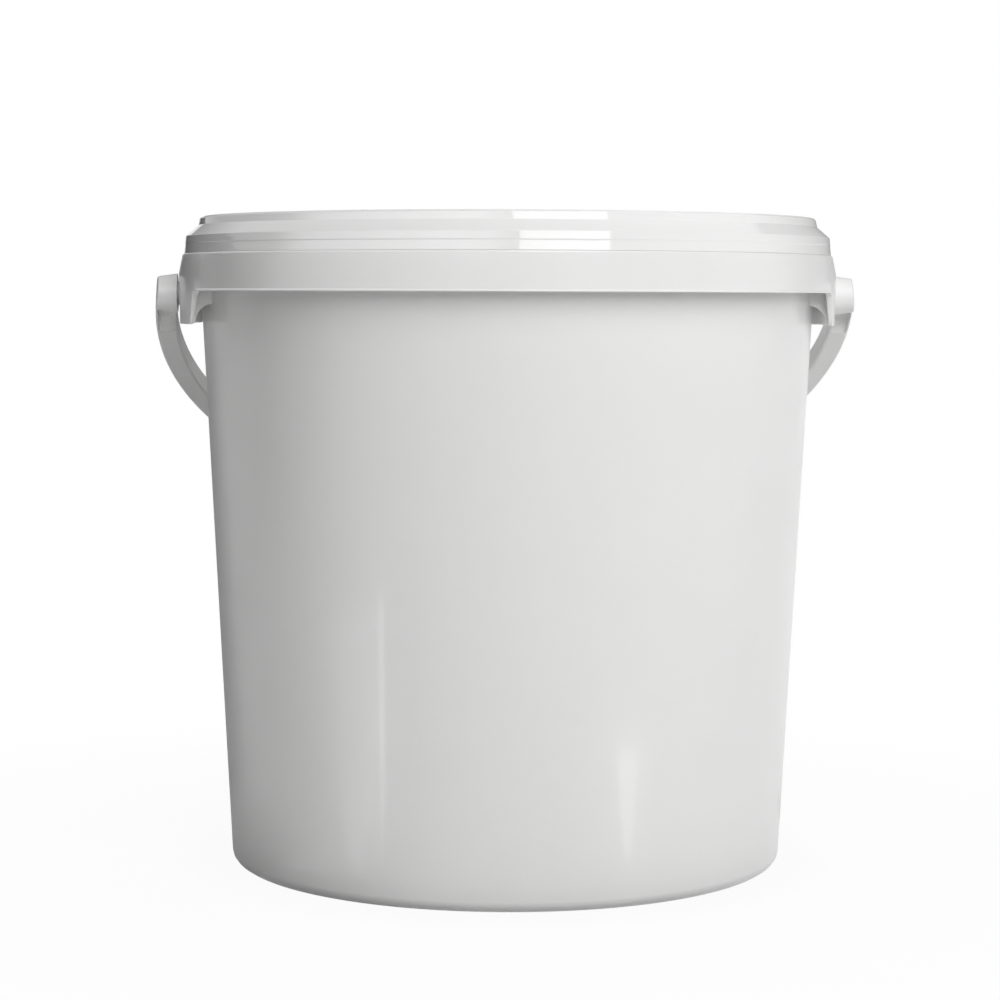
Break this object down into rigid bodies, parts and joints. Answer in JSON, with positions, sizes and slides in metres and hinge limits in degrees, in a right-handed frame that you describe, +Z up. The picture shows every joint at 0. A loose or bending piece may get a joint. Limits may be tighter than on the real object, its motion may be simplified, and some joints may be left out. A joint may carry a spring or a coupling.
{
  "type": "bucket with lid",
  "caption": "Round tapered plastic pail with a deep collar, a stepped push-on lid that lifts off, and a moulded bail handle that swings on pins in two ears.",
  "frame": {"origin": "middle of the base, on the surface the pail stands on", "axes": "+Z up along the pail's axis, X along the handle's pivot line, +Y towards the back, where the handle hangs"},
  "size_m": [0.288, 0.2687, 0.2627],
  "materials": {
    "pail_plastic": "smooth moulded white polypropylene",
    "lid_plastic": "smooth moulded white polypropylene",
    "handle_plastic": "smooth moulded white polypropylene",
    "seal_rubber": "soft pale elastomer"
  },
  "bodies": {
    "pail": {"bucket": "pail_plastic"},
    "cover": {"lid": "lid_plastic", "lid_seal": "seal_rubber"},
    "bail": {"handle": "handle_plastic"}
  },
  "joints": [
    {"name": "bail_swing", "type": "hinge", "parent": "pail", "child": "bail", "pos_m": [0, 0, 0.232], "axis": [1, 0, 0], "range_deg": [0, 250.3]},
    {"name": "lid_lift", "type": "slide", "parent": "pail", "child": "cover", "axis": [0, 0, 1], "range_m": [0, 0.2]}
  ]
}
